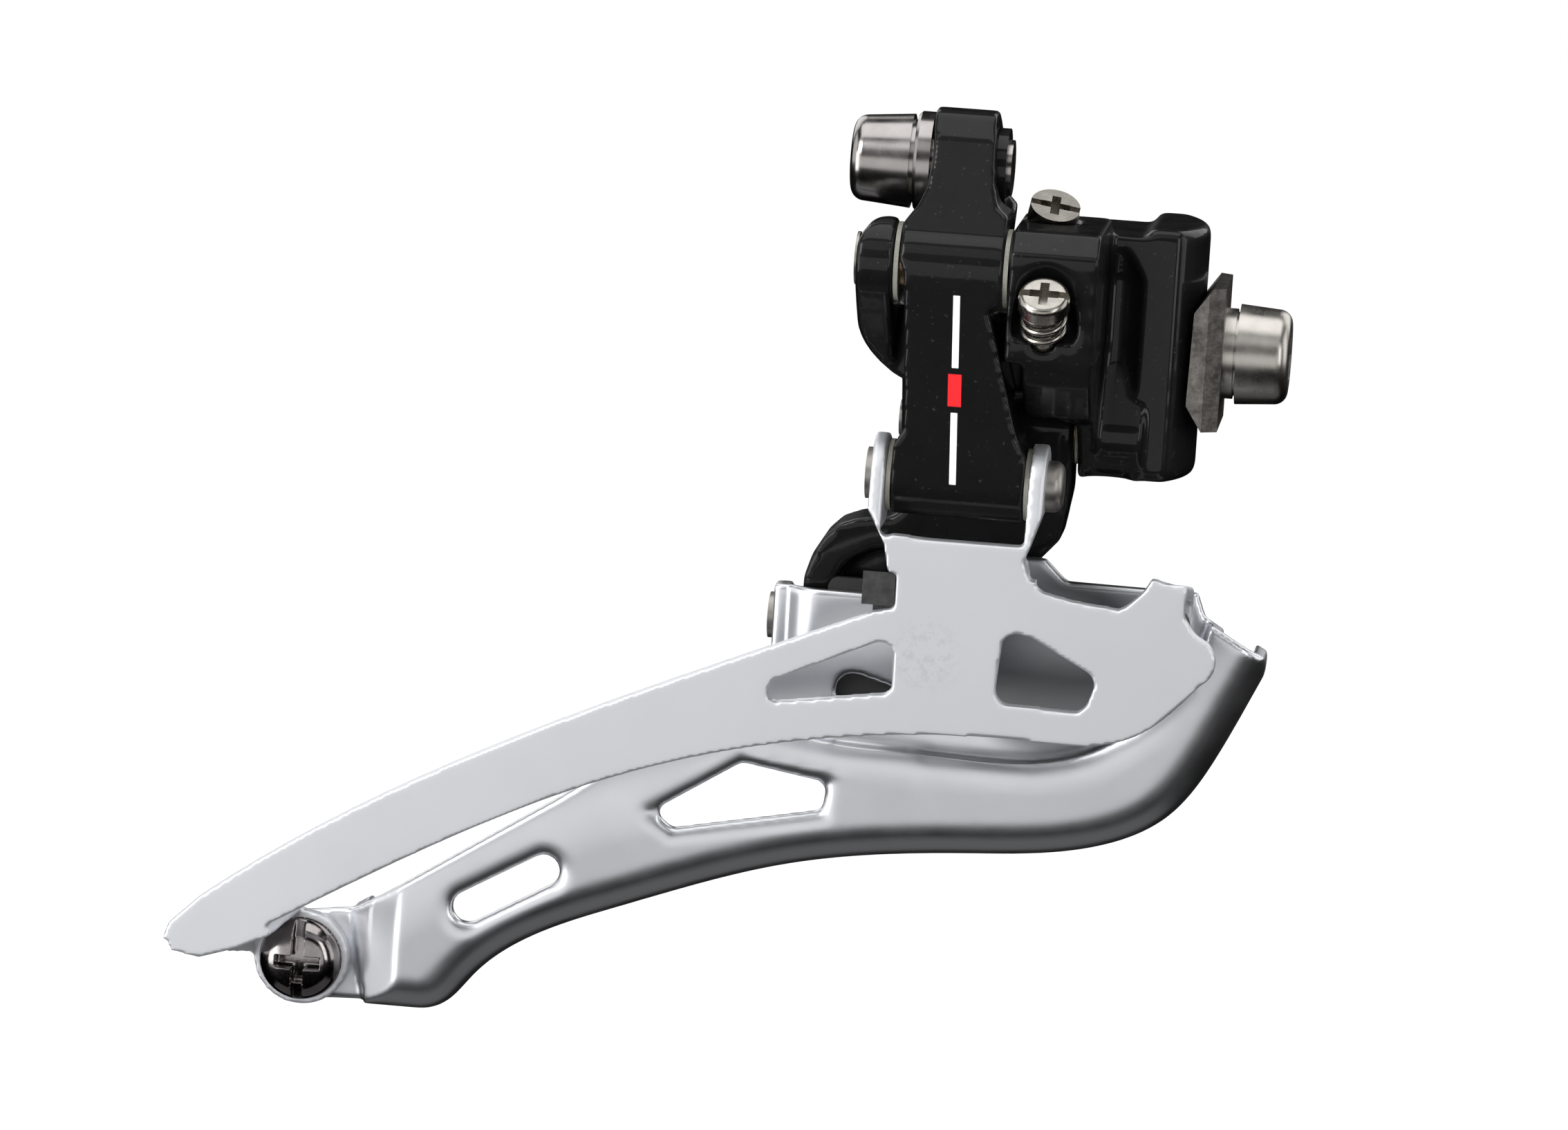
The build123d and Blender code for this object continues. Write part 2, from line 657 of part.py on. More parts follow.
def cage_dish(inset, margin, back):
    """Solid shape of the inner plate, drawn in by inset on the sides that the sheet wraps round."""
    outline = inner_outline(inset, margin, back)
    with BuildSketch(front(back)) as wall:
        add(outline.sketch)
        add(pocket_outline(inset, back).sketch, mode=Mode.INTERSECT)
    with BuildPart() as dish:
        extrude(outline.sketch, amount=back - BAND_FACE - inset)
        rim_edges = dish.faces().sort_by(Axis.Y)[0].edges().filter_by(lambda edge: edge.length > 80)
        fillet(rim_edges, RIM_RADIUS - inset)
        extrude(wall.sketch, amount=30, mode=Mode.SUBTRACT)
        extrude(wall.sketch, amount=back - WALL_FACE - inset)
        # The tail end ramps back toward the flange
        face = BAND_FACE + inset
        with BuildSketch(Plane.XY.offset(-80)) as ramp:
            with BuildLine():
                Polyline((RAMP_START, face), (RAMP_START, face - 9), (-80, face - 9), (-80, face + 6))
                Line((-80, face + 6), (RAMP_START, face))
            make_face()
        extrude(ramp.sketch, amount=40, mode=Mode.SUBTRACT)
    return dish


with BuildPart() as inner_cage_plate:
    add(cage_dish(0.0, 0.0, LIP_BACK).part)
    add(cage_dish(INNER_SHEET, 3.0, LIP_BACK + 1).part, mode=Mode.SUBTRACT)
    # Flange behind the tail screw, joined to the dish by a ramp
    with BuildSketch(front(FLANGE_FACE)) as flange:
        with Locations(TAIL_SCREW):
            Circle(TAB_RADIUS - 0.3)
        with Locations((-72.6, -60.6)):
            Rectangle(1.0, 8.6)
        make_hull()
    extrude(flange.sketch, amount=-INNER_SHEET)
    # Ears for the lower inner pin, bent back from the wall
    for ear in INNER_CAGE_EARS:
        arm(ear, INNER_BOTTOM, 3.2, (-5.0, -26.2), 3.0)
        slab(ear, (WALL_FACE, WALL_FACE + INNER_SHEET), (-29.8, -23.2))
    # Openings that lighten the sheet
    corners = [(-46.6, -44.6), (-38.6, -39.4), (-30.8, -40.6), (-31.0, -43.2), (-44.6, -46.0)]
    triangle = polygon(front(-30), corners, 0.9)
    extrude(triangle.sketch, amount=-40, mode=Mode.SUBTRACT)
    with BuildSketch(front(-30)) as slot:
        with Locations((-62.9, -54.9)):
            Circle(1.45)
        with Locations((-56.1, -50.9)):
            Circle(1.45)
        make_hull()
    extrude(slot.sketch, amount=-40, mode=Mode.SUBTRACT)
    with BuildSketch(front(-30)) as spring_window:
        with Locations((-29.0, -32.3)):
            Circle(1.6)
        with Locations((-24.6, -32.9)):
            Circle(1.0)
        make_hull()
    extrude(spring_window.sketch, amount=-40, mode=Mode.SUBTRACT)
    rod((-40, -10), INNER_BOTTOM, PIN_RADIUS, Mode.SUBTRACT)
    for spot, radius in ((TAIL_SCREW, 2.0), (NOSE_RIVET, 1.1)):
        with BuildSketch(front(-30)) as drilled:
            with Locations(spot):
                Circle(radius)
        extrude(drilled.sketch, amount=-40, mode=Mode.SUBTRACT)
finish(inner_cage_plate, "inner_cage_plate")

with BuildPart() as spring_rest:
    # Sheet between the wall and the spring, which stands a little above the wall
    slab((-32.0, -19.6), (WALL_FACE + INNER_SHEET, -6.05), (-35.2, -22.1))
    fillet(spring_rest.edges().filter_by(Axis.Y), 1.0)
finish(spring_rest, "spring_rest")

with BuildPart() as rear_bridge:
    # Steel strap from the inner wall forward to the notch in the outer plate
    with BuildSketch(side(-27.6)):
        with BuildLine():
            Polyline(
                (-20.4, -18.9),
                (-20.4, -21.9),
                (-19.2, -21.9),
                (-19.2, -20.4),
                (-9.2, -22.8),
                (-9.2, -26.0),
                (-8.0, -26.0),
                (-8.0, -21.8),
                close=True,
            )
        make_face()
    extrude(amount=2.9)
finish(rear_bridge, "rear_bridge")

with BuildPart() as lower_outer_pin:
    rod((-27.9, -12.1), OUTER_BOTTOM, PIN_RADIUS)
    rod((-28.2, -27.7), OUTER_BOTTOM, 2.3)
    rod((-12.1, -10.6), OUTER_BOTTOM, 2.3)
    fillet(lower_outer_pin.edges().group_by(Axis.X)[-1], 0.9)
finish(lower_outer_pin, "lower_outer_pin")

with BuildPart() as lower_inner_pin:
    rod((-37.0, -11.6), INNER_BOTTOM, PIN_RADIUS)
    rod((-37.6, -36.9), INNER_BOTTOM, 2.1)
finish(lower_inner_pin, "lower_inner_pin")

with BuildPart() as lower_thrust_washers:
    ring((-26.25, -25.85), OUTER_BOTTOM, 3.2, PIN_RADIUS + RUNNING_GAP)
    ring((-13.95, -13.55), OUTER_BOTTOM, 3.2, PIN_RADIUS + RUNNING_GAP)
    ring((-35.55, -34.45), INNER_BOTTOM, 2.8, PIN_RADIUS + RUNNING_GAP)
    ring((-14.55, -13.45), INNER_BOTTOM, 2.8, PIN_RADIUS + RUNNING_GAP)
finish(lower_thrust_washers, "lower_thrust_washers")

with BuildPart() as tail_screw:
    with BuildSketch(front(FLANGE_FACE - OUTER_SHEET)) as head:
        with Locations(TAIL_SCREW):
            Circle(3.8)
    extrude(head.sketch, amount=2.4)
    fillet(tail_screw.faces().sort_by(Axis.Y)[0].edges(), 1.4)
    with BuildSketch(front(FLANGE_FACE - OUTER_SHEET)) as shank:
        with Locations(TAIL_SCREW):
            Circle(2.0)
    extrude(shank.sketch, amount=-6.0)
    face = front(FLANGE_FACE - OUTER_SHEET - 2.4)
    face.origin += (TAIL_SCREW[0], 0, TAIL_SCREW[1])
    recess(face, 8.0, 1.0, 0.9, 4.2, 1.2, 1.8)
finish(tail_screw, "tail_screw")

with BuildPart() as tail_nut:
    with BuildSketch(front(FLANGE_FACE + INNER_SHEET)) as nut:
        with Locations(TAIL_SCREW):
            RegularPolygon(3.4, 6, major_radius=False)
            Circle(2.0, mode=Mode.SUBTRACT)
    extrude(nut.sketch, amount=-2.6)
finish(tail_nut, "tail_nut")

with BuildPart() as nose_rivet:
    for face_y, radius, depth in ((-9.5, 1.6, 0.7), (-6.1, 1.6, 0.7), (-9.5, 1.1, -2.7)):
        with BuildSketch(front(face_y)) as section:
            with Locations(NOSE_RIVET):
                Circle(radius)
        extrude(section.sketch, amount=depth)
finish(nose_rivet, "nose_rivet")

with BuildPart() as return_spring:
    # Torsion coil round the lower inner pin, with one leg behind the link and one behind the cage wall
    coil = Plane(origin=(-31.3, *INNER_BOTTOM), x_dir=(0, -1, 0), z_dir=(1, 0, 0))
    path = coil.location * Helix(1.35, 1.35 * 9.5, 2.9)
    with BuildSketch(Plane(origin=path @ 0, z_dir=path % 0)) as section:
        Circle(0.6)
    sweep(section.sketch, path=path, is_frenet=True)
finish(return_spring, "return_spring")
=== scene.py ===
"""Looks for a bicycle front derailleur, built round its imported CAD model.

Metres, in the model's own frame: +X forward along the fixing bolt, +Z up, -Y outward to the drive side.
"""

from math import cos, pi, radians, sin

import bmesh
import bpy
from mathutils import Matrix, Vector


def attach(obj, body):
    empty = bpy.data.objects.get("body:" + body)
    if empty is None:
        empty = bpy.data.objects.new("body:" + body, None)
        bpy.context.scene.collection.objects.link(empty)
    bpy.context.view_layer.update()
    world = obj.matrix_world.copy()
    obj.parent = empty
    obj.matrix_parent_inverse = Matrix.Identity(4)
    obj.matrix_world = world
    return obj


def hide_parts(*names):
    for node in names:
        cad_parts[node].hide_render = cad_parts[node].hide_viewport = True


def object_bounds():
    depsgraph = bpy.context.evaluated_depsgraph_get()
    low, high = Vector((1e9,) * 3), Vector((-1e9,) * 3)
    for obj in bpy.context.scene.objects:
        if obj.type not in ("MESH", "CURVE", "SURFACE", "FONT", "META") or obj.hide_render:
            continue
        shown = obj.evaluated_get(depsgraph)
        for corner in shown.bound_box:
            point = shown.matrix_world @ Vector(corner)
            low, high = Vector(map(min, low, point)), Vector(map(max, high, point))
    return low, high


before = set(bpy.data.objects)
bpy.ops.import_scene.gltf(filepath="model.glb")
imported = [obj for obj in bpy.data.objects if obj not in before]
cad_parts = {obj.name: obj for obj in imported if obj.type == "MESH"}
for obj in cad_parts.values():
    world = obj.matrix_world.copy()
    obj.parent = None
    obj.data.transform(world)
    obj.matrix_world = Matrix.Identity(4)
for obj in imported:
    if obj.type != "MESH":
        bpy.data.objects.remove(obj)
cad_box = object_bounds()
scene = bpy.context.scene
MM = 0.001

# ---------------------------------------------------------------- camera

AZIMUTH, ELEVATION, ROLL = 6.0, 10.0, 3.5
CAMERA_DISTANCE = 0.7
LENS, SENSOR = 177.78, 36.0
NEAR_CLIP, FAR_CLIP = 0.05, 50
AIM = Vector((-36.03, -7.56, -21.26)) * MM


def direction(azimuth, elevation):
    """Unit vector away from the object. Azimuth 0 is the drive side, and it grows toward the front."""
    a, e = radians(azimuth), radians(elevation)
    return Vector((sin(a) * cos(e), -cos(a) * cos(e), sin(e)))


def add_camera():
    """Long lens, a little above the object and toward its front, with a slight roll."""
    back = direction(AZIMUTH, ELEVATION)
    level_right = (-back).cross(Vector((0, 0, 1))).normalized()
    level_up = level_right.cross(-back)
    roll = radians(ROLL)
    right = level_right * cos(roll) + level_up * sin(roll)
    up = back.cross(right)
    data = bpy.data.cameras.new("camera")
    data.lens = LENS
    data.sensor_width = SENSOR
    data.clip_start = NEAR_CLIP
    data.clip_end = FAR_CLIP
    camera = bpy.data.objects.new("camera", data)
    scene.collection.objects.link(camera)
    turn = Matrix((right, up, back)).transposed().to_4x4()
    camera.matrix_world = Matrix.Translation(AIM + back * CAMERA_DISTANCE) @ turn
    scene.camera = camera


add_camera()

# ---------------------------------------------------------------- material nodes


def socket_name(key):
    """coat_ior becomes Coat IOR."""
    return key.replace("_", " ").title().replace("Ior", "IOR")


class Shader:
    """A material with a principled shader, and short calls for adding nodes to it."""

    def __init__(self, name, **constants):
        self.material = bpy.data.materials.new(name)
        self.material.use_nodes = True
        self.tree = self.material.node_tree
        self.principled = self.tree.nodes["Principled BSDF"]
        for key, value in constants.items():
            self.principled.inputs[socket_name(key)].default_value = value
        self.point = self.add("ShaderNodeTexCoord").outputs["Object"]

    def add(self, kind, links=None, **settings):
        """A node with its settings, and its inputs linked or set."""
        node = self.tree.nodes.new(kind)
        for key, value in settings.items():
            setattr(node, key, value)
        for key, value in (links or {}).items():
            self.put(value, node.inputs[key])
        return node

    def put(self, value, socket):
        """Link the socket to another node's output, or set it to a constant."""
        if isinstance(value, bpy.types.NodeSocket):
            self.tree.links.new(value, socket)
        else:
            socket.default_value = value

    def math(self, operation, *values):
        """Result of a sum on links or numbers."""
        return self.add("ShaderNodeMath", dict(enumerate(values)), operation=operation).outputs[0]

    def product(self, first, *others):
        """All the values multiplied together."""
        for other in others:
            first = self.math("MULTIPLY", first, other)
        return first

    def noise(self, scale, detail=3.0, roughness=0.55, stretch=(1, 1, 1)):
        """Noise with about scale features per metre, squeezed along each axis by stretch."""
        mapping = self.add("ShaderNodeMapping", {"Vector": self.point, "Scale": stretch})
        links = {"Vector": mapping.outputs[0], "Scale": scale, "Detail": detail, "Roughness": roughness}
        return self.add("ShaderNodeTexNoise", links).outputs["Fac"]

    def span(self, value, low, high, to_low=0.0, to_high=1.0, smooth=False):
        """Value between low and high, mapped to another span and clamped there."""
        node = self.add(
            "ShaderNodeMapRange",
            {"Value": value, "From Min": low, "From Max": high, "To Min": to_low, "To Max": to_high},
            interpolation_type="SMOOTHSTEP" if smooth else "LINEAR",
        )
        return node.outputs[0]

    def blend(self, factor, first, second):
        """Colour that goes from first to second with factor."""
        node = self.add("ShaderNodeMix", data_type="RGBA")
        self.put(factor, node.inputs["Factor"])
        self.put(first, node.inputs["A"])
        self.put(second, node.inputs["B"])
        return node.outputs["Result"]

    def axes(self):
        """The point's three coordinates."""
        return tuple(self.add("ShaderNodeSeparateXYZ", {0: self.point}).outputs)

    def patch(self, middle, out, full, strength=1.0):
        """Strength within the full distance of a place, fading to nothing at the out distance."""
        away = self.add("ShaderNodeVectorMath", {0: self.point, 1: middle}, operation="DISTANCE")
        return self.span(away.outputs["Value"], out, full, 0.0, strength, smooth=True)

    def bump(self, height, strength, distance):
        """Normal of a surface raised by height times distance."""
        links = {"Height": height, "Strength": strength, "Distance": distance}
        return self.add("ShaderNodeBump", links).outputs["Normal"]

    def set(self, **sockets):
        """Link or set inputs of the principled shader, and give the material."""
        for key, value in sockets.items():
            self.put(value, self.principled.inputs[socket_name(key)])
        return self.material


def colour(red, green, blue):
    """Opaque colour."""
    return (red, green, blue, 1.0)


# Printed line down the outer link's front, and the short bar in its middle: half widths and half lengths
STRIPE_X, STRIPE_LEAN, STRIPE_FRONT = -20.6 * MM, -0.03, -16.5 * MM
STRIPE_MIDDLE, STRIPE_REACH, STRIPE_WIDTH = -2.2 * MM, 8.6 * MM, 0.25 * MM
BAR_REACH, BAR_WIDTH, BAR_GAP = 1.5 * MM, 0.55 * MM, 0.5 * MM
SIDE_FADE, END_FADE = 0.07 * MM, 0.1 * MM

# Patches on the cage plates: middle, distance where the patch ends, distance where it is full. The inner
# plate's patch is painted shade on its pocket's wall; the outer plate's is real rubbed wear.
POCKET_SHADE = (Vector((-10.5, -8.0, -28.5)) * MM, 10.0 * MM, 7.0 * MM)
RUBBED_SPOT = (Vector((-21.5, -21.0, -26.0)) * MM, 4.2 * MM, 1.5 * MM)
# Limits of y for the inner pocket's wall that takes the painted shade, and the fade at each limit
WALL_FRONT, WALL_BACK, WALL_FADE = -9.0 * MM, -7.2 * MM, 0.4 * MM


def paint_base(name):
    """Shader and base colour of deep gloss enamel: faint orange peel and a little dust."""
    shader = Shader(name, specular_ior_level=0.1, coat_weight=0.4, coat_roughness=0.07, coat_ior=1.5)
    dust = shader.span(shader.noise(2600, 2.0), 0.67, 0.75, 0.0, 0.06)
    black, charcoal = colour(0.0022, 0.0022, 0.0025), colour(0.0045, 0.0043, 0.0047)
    depth = shader.blend(shader.noise(220, 3.0), black, charcoal)
    shader.set(
        roughness=shader.span(shader.noise(500, 3.0), 0.3, 0.7, 0.35, 0.5),
        normal=shader.bump(shader.noise(700, 2.0), 0.25, 0.00005),
        coat_normal=shader.bump(shader.noise(420, 1.0), 0.3, 0.00004),
    )
    return shader, shader.blend(dust, depth, colour(0.3, 0.29, 0.27))


def black_paint():
    """Plain black enamel."""
    shader, base = paint_base("black_paint")
    return shader.set(base_color=base)


def striped_paint():
    """Black enamel with a plain printed line down the link's front, broken by a short red bar."""
    shader, base = paint_base("striped_paint")
    x, y, z = shader.axes()
    middle = shader.math("MULTIPLY_ADD", z, STRIPE_LEAN, STRIPE_X)
    aside = shader.math("ABSOLUTE", shader.math("SUBTRACT", x, middle))
    level = shader.math("ABSOLUTE", shader.math("SUBTRACT", z, STRIPE_MIDDLE))
    facing = shader.math("LESS_THAN", y, STRIPE_FRONT)
    line = shader.span(aside, STRIPE_WIDTH + SIDE_FADE, STRIPE_WIDTH)
    line_ends = shader.span(level, STRIPE_REACH, STRIPE_REACH - END_FADE)
    gap = shader.span(level, BAR_REACH + BAR_GAP, BAR_REACH + BAR_GAP + END_FADE)
    bar = shader.span(aside, BAR_WIDTH + SIDE_FADE, BAR_WIDTH)
    bar_ends = shader.span(level, BAR_REACH, BAR_REACH - END_FADE)
    white, red = colour(0.75, 0.76, 0.78), colour(0.62, 0.012, 0.016)
    with_line = shader.blend(shader.product(line, line_ends, gap, facing), base, white)
    return shader.set(base_color=shader.blend(shader.product(bar, bar_ends, facing), with_line, red))


def satin_alloy(name, base, shade, rough_low, rough_high, metallic):
    """Shader and base colour of blasted, anodised aluminium sheet: a fine grain and hardly any cloud."""
    shader = Shader(name, metallic=metallic)
    cloud = shader.noise(90, 3.0)
    grain = shader.noise(9000, 2.0)
    shader.set(
        roughness=shader.span(shader.noise(260, 2.0), 0.3, 0.7, rough_low, rough_high),
        normal=shader.bump(grain, 0.16, 0.00002),
    )
    return shader, shader.blend(shader.span(cloud, 0.3, 0.7), shade, base)


def inner_alloy():
    """Inner sheet, with painted shade darkening the pocket's wall behind the outer plate's front window."""
    pale, shade = colour(0.77, 0.78, 0.81), colour(0.74, 0.75, 0.78)
    shader, base = satin_alloy("satin_alloy_inner", pale, shade, 0.31, 0.35, 1.0)
    depth = shader.axes()[1]
    past_front = shader.span(depth, WALL_FRONT, WALL_FRONT + WALL_FADE)
    before_back = shader.span(depth, WALL_BACK, WALL_BACK - WALL_FADE)
    # Painted shade: the pocket's wall, in shadow behind the outer plate, is blended toward near black
    wear_and_shade = shader.product(shader.patch(*POCKET_SHADE, strength=0.8), past_front, before_back)
    return shader.set(base_color=shader.blend(wear_and_shade, base, colour(0.12, 0.12, 0.125)))


def outer_alloy():
    """Outer sheet, with a faint rubbed patch between its windows."""
    pale, shade = colour(0.76, 0.77, 0.80), colour(0.74, 0.75, 0.78)
    shader, base = satin_alloy("satin_alloy_outer", pale, shade, 0.46, 0.50, 0.93)
    specks = shader.span(shader.noise(1500, 4.0, 0.7), 0.5, 0.62)
    # Real rubbed wear: specks darkened in one patch between the windows
    wear_and_shade = shader.product(shader.patch(*RUBBED_SPOT), specks, 0.3)
    return shader.set(base_color=shader.blend(wear_and_shade, base, colour(0.52, 0.51, 0.50)))


def turned_steel(name, base, shade, rough_low, rough_high, strength=0.35):
    """Steel with fine lathe rings round X."""
    shader = Shader(name, metallic=1.0)
    rings = shader.noise(9000, 4.0, 0.7, (1.0, 0.02, 0.02))
    mottle = shader.noise(500, 4.0)
    return shader.set(
        base_color=shader.blend(shader.span(mottle, 0.3, 0.7), shade, base),
        roughness=shader.span(mottle, 0.25, 0.75, rough_low, rough_high),
        normal=shader.bump(rings, strength, 0.00003),
    )


def plain_steel(name, base, shade, rough_low, rough_high, strength=0.3):
    """Dull steel, mottled by handling, with a fine random grain."""
    shader = Shader(name, metallic=1.0)
    mottle = shader.noise(900, 5.0, 0.65)
    pits = shader.noise(4200, 3.0, 0.6)
    return shader.set(
        base_color=shader.blend(shader.span(mottle, 0.35, 0.65), shade, base),
        roughness=shader.span(pits, 0.3, 0.7, rough_low, rough_high),
        normal=shader.bump(pits, strength, 0.00004),
    )


def nylon(name, shade, base):
    """Moulded plastic with a fine matt grain."""
    shader = Shader(name, specular_ior_level=0.5)
    grain = shader.noise(5000, 2.0)
    return shader.set(
        base_color=shader.blend(grain, shade, base),
        roughness=shader.span(grain, 0.3, 0.7, 0.4, 0.55),
        normal=shader.bump(grain, 0.2, 0.00003),
    )


PAINT = black_paint()
STRIPED_PAINT = striped_paint()
OUTER_ALLOY = outer_alloy()
INNER_ALLOY = inner_alloy()
FIXING_STEEL = turned_steel("fixing_steel", colour(0.58, 0.55, 0.51), colour(0.45, 0.43, 0.40), 0.24, 0.34)
PIN_STEEL = turned_steel("pin_steel", colour(0.46, 0.44, 0.41), colour(0.34, 0.32, 0.30), 0.36, 0.48)
CABLE_STEEL = turned_steel(
    "cable_steel", colour(0.42, 0.40, 0.39), colour(0.35, 0.33, 0.32), 0.18, 0.26, strength=0.12
)
BLOCK_STEEL = plain_steel("block_steel", colour(0.30, 0.28, 0.26), colour(0.13, 0.122, 0.112), 0.3, 0.45)
STRAP_STEEL = plain_steel("strap_steel", colour(0.12, 0.12, 0.122), colour(0.075, 0.075, 0.076), 0.4, 0.55)
SCREW_NICKEL = plain_steel(
    "screw_nickel", colour(0.44, 0.42, 0.38), colour(0.34, 0.32, 0.29), 0.22, 0.3, strength=0.1
)
TAIL_NICKEL = plain_steel(
    "tail_nickel", colour(0.34, 0.31, 0.31), colour(0.27, 0.25, 0.25), 0.12, 0.2, strength=0.1
)
SPRING_STEEL = plain_steel("spring_steel", colour(0.5, 0.48, 0.45), colour(0.3, 0.29, 0.27), 0.25, 0.35)
NYLON = nylon("grey_nylon", colour(0.10, 0.10, 0.085), colour(0.2, 0.195, 0.165))
BLACK_NYLON = nylon("black_nylon", colour(0.006, 0.006, 0.006), colour(0.016, 0.016, 0.015))
BRONZE = plain_steel("bronze", colour(0.6, 0.45, 0.27), colour(0.42, 0.3, 0.17), 0.3, 0.42)

FINISHES = {
    "body_casting": PAINT,
    "outer_link": STRIPED_PAINT,
    "inner_link": PAINT,
    "outer_cage_plate": OUTER_ALLOY,
    "inner_cage_plate": INNER_ALLOY,
    "fixing_bolt": FIXING_STEEL,
    "fixing_flat_washer": FIXING_STEEL,
    "fixing_washer": BLOCK_STEEL,
    "rear_bridge": STRAP_STEEL,
    "cable_bolt": CABLE_STEEL,
    "cable_washer": CABLE_STEEL,
    "cable_insert": PAINT,
    "low_limit_screw": SCREW_NICKEL,
    "high_limit_screw": SCREW_NICKEL,
    "low_limit_spring": SCREW_NICKEL,
    "high_limit_spring": SCREW_NICKEL,
    "tail_screw": TAIL_NICKEL,
    "tail_nut": TAIL_NICKEL,
    "nose_rivet": CABLE_STEEL,
    "upper_outer_pin": PIN_STEEL,
    "upper_inner_pin": PIN_STEEL,
    "lower_outer_pin": PIN_STEEL,
    "lower_inner_pin": PIN_STEEL,
    "return_spring": SPRING_STEEL,
    "spring_rest": BLACK_NYLON,
    "upper_outer_thrust_washers": NYLON,
    "upper_inner_thrust_washers": NYLON,
    "lower_thrust_washers": NYLON,
    "outer_link_bushes": BRONZE,
    "inner_link_bushes": BRONZE,
}


def finish_with(piece, material):
    """Every face of the piece takes this material."""
    piece.data.materials.clear()
    piece.data.materials.append(material)


for name, material in FINISHES.items():
    finish_with(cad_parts[name], material)

# ---------------------------------------------------------------- pieces with soft edges

WELD, SMOOTH_FACTOR = 1e-6, 0.5


def soft_copy(node, body, voxel, rounds, shape_with=None):
    """Copy of a CAD node with every edge rounded by rounds of smoothing, which stands for the node."""
    work = bmesh.new()
    work.from_mesh(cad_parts[node].data)
    bmesh.ops.remove_doubles(work, verts=work.verts, dist=WELD)
    mesh = bpy.data.meshes.new(node + "_soft")
    work.to_mesh(mesh)
    work.free()
    piece = bpy.data.objects.new(node + "_soft", mesh)
    scene.collection.objects.link(piece)
    remesh = piece.modifiers.new("remesh", "REMESH")
    remesh.mode = "VOXEL"
    remesh.voxel_size = voxel
    smooth = piece.modifiers.new("smooth", "SMOOTH")
    smooth.factor = SMOOTH_FACTOR
    smooth.iterations = rounds
    bpy.context.view_layer.update()
    evaluated = piece.evaluated_get(bpy.context.evaluated_depsgraph_get())
    shape = bpy.data.meshes.new_from_object(evaluated)
    piece.modifiers.clear()
    piece.data = shape
    if shape_with:
        shape_with(shape)
    shape.shade_smooth()
    finish_with(piece, FINISHES[node])
    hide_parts(node)
    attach(piece, body)


# Shapes of the soft copies. Places are (x, z) and lengths in millimetres, but limits of y are in metres.

# The inner cage plate's windows, and how far round and how deep each is pressed in
TRIANGLE = [(-46.6, -44.6), (-38.6, -39.4), (-30.8, -40.6), (-31.0, -43.2), (-44.6, -46.0)]
SLOT = (Vector((-62.9, -54.9)), Vector((-56.1, -50.9)))
SLOT_RADIUS = 1.45
PRESS_REACH, PRESS_DEPTH = 1.7, 0.3

# The step round its pocket, softened within reach of this line, between two x and above a z
STEP_LINE = [(-43.0, -31.0), (-36.5, -35.6), (-22.0, -37.2), (-8.5, -36.4), (-0.9, -31.0)]
STEP_REACH, STEP_ROUNDS = 3.2, 60
STEP_REAR, STEP_FRONT, STEP_BASE = -46, 4, -42

# Its band's crown, which falls back between two distances from the rim and fades out toward both ends
RIM = [
    (-67.5, -65.3), (-62.6, -62.0), (-49.0, -54.1), (-34.0, -48.9),
    (-18.0, -46.6), (-7.0, -45.2), (0.0, -41.8),
]
CROWN_START, CROWN_END, CROWN_DEPTH = 6.0, 15.0, 1.0
CROWN_FRONT, CROWN_FRONT_FADE = -30, 12
CROWN_REAR, CROWN_REAR_FADE = -73, 4
BAND_BACK = -8.3 * MM

# The rear end of its pocket's wall, which curls back round this share of a radius
CURL_START, CURL_RADIUS, CURL_SHARE = -32.6, 3.6, 0.8
CURL_BASE, CURL_BACK = -29.0, -6.0 * MM

# The tail screw's middle, and the dome of its head
TAIL_SCREW = Vector((-78.2, -61.1))
DOME_RADIUS, DOME_DEPTH, DOME_BACK = 3.8, 0.8, -9.0 * MM


def unit(value):
    """Value held between 0 and 1."""
    return max(0.0, min(1.0, value))


def flat_place(vert):
    """A vertex's x and z in millimetres."""
    return Vector((vert.co.x / MM, vert.co.z / MM))


def to_segment(point, first, second):
    """Distance from a point to a stretch between two others."""
    along = second - first
    share = unit((point - first).dot(along) / along.length_squared)
    return (point - first - along * share).length


def to_line(point, corners, closed=False):
    """Distance from a point to the nearest stretch of a line, or of a closed outline."""
    ends = [Vector(corner) for corner in corners]
    if closed:
        ends.append(ends[0])
    return min(to_segment(point, *pair) for pair in zip(ends, ends[1:]))


def on_step(point):
    """Whether a point is near the step round the pocket."""
    inside = STEP_REAR < point.x < STEP_FRONT and point.y > STEP_BASE
    return inside and to_line(point, STEP_LINE) < STEP_REACH


def crown_depth(point):
    """How far the band's face falls back, away from its rim."""
    front = unit((CROWN_FRONT - point.x) / CROWN_FRONT_FADE)
    rear = unit((point.x - CROWN_REAR) / CROWN_REAR_FADE)
    rise = unit((to_line(point, RIM) - CROWN_START) / (CROWN_END - CROWN_START))
    return front * rear * CROWN_DEPTH * rise**2


def press_depth(point):
    """How far a window's rim is pressed in."""
    to_slot = max(0.0, to_segment(point, *SLOT) - SLOT_RADIUS)
    gap = min(to_line(point, TRIANGLE, closed=True), to_slot)
    return PRESS_DEPTH * unit(1 - gap / PRESS_REACH) ** 2


def curl_depth(point):
    """How far the wall's rear end curls back."""
    run = min(max(0.0, CURL_START - point.x), CURL_RADIUS * CURL_SHARE)
    return CURL_RADIUS - (CURL_RADIUS**2 - run**2) ** 0.5


